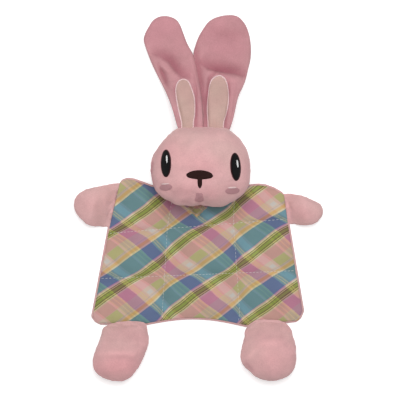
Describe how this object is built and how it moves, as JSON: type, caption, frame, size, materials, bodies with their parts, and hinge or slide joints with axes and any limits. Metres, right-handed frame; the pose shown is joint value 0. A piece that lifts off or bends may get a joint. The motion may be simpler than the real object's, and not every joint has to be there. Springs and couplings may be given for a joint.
{
  "type": "bunny comforter",
  "caption": "Soft bunny comforter: stuffed head with long ears, two arms and two feet sewn to a small quilted plaid blanket backed with pink velour.",
  "frame": {"origin": "middle of the toy's footprint, on the surface it lies on", "axes": "+X the toy's own left, +Y from its feet to its ears, +Z its front, up from the surface"},
  "size_m": [0.232, 0.3337, 0.0631],
  "materials": {
    "velour": "short pile, matte",
    "ear_velour": "short pile, matte, a shade darker",
    "inner_ear": "smooth beige velour with a satin stitched edge",
    "plaid": "printed cotton in a madras plaid, matte",
    "filling": "white polyester, matte",
    "eye": "embroidery, slight sheen",
    "glint": "embroidery, slight sheen",
    "nose": "embroidery, slight sheen",
    "mauve": "embroidery, slight sheen"
  },
  "bodies": {
    "blanket": {"blanket_front": "plaid", "blanket_wadding": "filling", "blanket_back": "velour"},
    "head": {"head_front": "velour", "head_back": "velour", "head_stuffing": "filling", "eye_right": "eye", "eye_right_glint": "glint", "eye_left": "eye", "eye_left_glint": "glint", "cheek_right": "mauve", "cheek_left": "mauve", "nose": "nose", "mouth": "mauve"},
    "ear_right": {"ear_right_front": "ear_velour", "ear_right_back": "velour", "ear_right_inner": "inner_ear"},
    "ear_left": {"ear_left_front": "ear_velour", "ear_left_back": "velour", "ear_left_inner": "inner_ear"},
    "arm_right": {"arm_right_front": "velour", "arm_right_back": "velour", "arm_right_stuffing": "filling"},
    "arm_left": {"arm_left_front": "velour", "arm_left_back": "velour", "arm_left_stuffing": "filling"},
    "foot_right": {"foot_right_front": "velour", "foot_right_back": "velour", "foot_right_stuffing": "filling"},
    "foot_left": {"foot_left_front": "velour", "foot_left_back": "velour", "foot_left_stuffing": "filling"}
  },
  "joints": [
    {"name": "head_nod", "type": "hinge", "parent": "blanket", "child": "head", "pos_m": [0.00289, 0.00448, 0.0051], "axis": [1, 0, 0], "range_deg": [0, 55]},
    {"name": "ear_right_fold", "type": "hinge", "parent": "head", "child": "ear_right", "pos_m": [-0.00511, 0.06853, 0.031], "axis": [1, 0, 0], "range_deg": [-60, 75]},
    {"name": "ear_left_fold", "type": "hinge", "parent": "head", "child": "ear_left", "pos_m": [0.01789, 0.06853, 0.031], "axis": [1, 0, 0], "range_deg": [-60, 75]},
    {"name": "arm_right_fold", "type": "hinge", "parent": "blanket", "child": "arm_right", "pos_m": [-0.07661, -0.00335, 0.00155], "axis": [0.2261, 0.9741, 0], "range_deg": [-85, 85]},
    {"name": "arm_left_fold", "type": "hinge", "parent": "blanket", "child": "arm_left", "pos_m": [0.08207, -0.00767, 0.00155], "axis": [0.1368, -0.9906, 0], "range_deg": [-85, 85]},
    {"name": "foot_right_fold", "type": "hinge", "parent": "blanket", "child": "foot_right", "pos_m": [-0.06513, -0.11053, 0.00155], "axis": [-0.9976, -0.0697, 0], "range_deg": [-85, 85]},
    {"name": "foot_left_fold", "type": "hinge", "parent": "blanket", "child": "foot_left", "pos_m": [0.06414, -0.10957, 0.00155], "axis": [-1, 0, 0], "range_deg": [-85, 85]}
  ]
}
